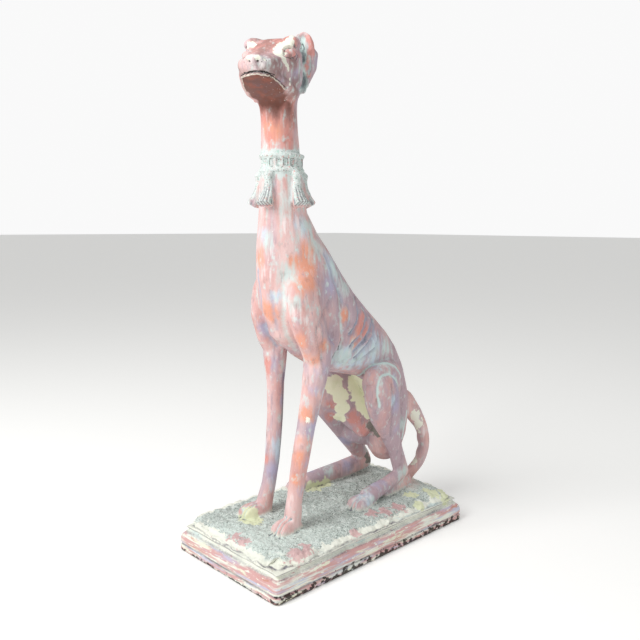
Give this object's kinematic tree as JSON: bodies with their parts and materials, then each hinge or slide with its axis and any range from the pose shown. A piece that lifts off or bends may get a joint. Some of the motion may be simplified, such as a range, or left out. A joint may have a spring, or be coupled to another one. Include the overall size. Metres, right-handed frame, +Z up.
{
  "type": "greyhound statue",
  "caption": "Seated greyhound garden statue with a tasselled collar, cast in concrete on a moulded rectangular plinth, in worn pink and mint paint.",
  "frame": {"origin": "middle of the plinth's flat underside", "axes": "+Z up, the dog looks along -Y, its left side is +X"},
  "size_m": [0.226, 0.4, 0.739],
  "materials": {
    "painted_concrete": "matt, worn pink and mint paint over cast concrete"
  },
  "bodies": {
    "root": {"greyhound_statue": "painted_concrete"}
  },
  "joints": []
}
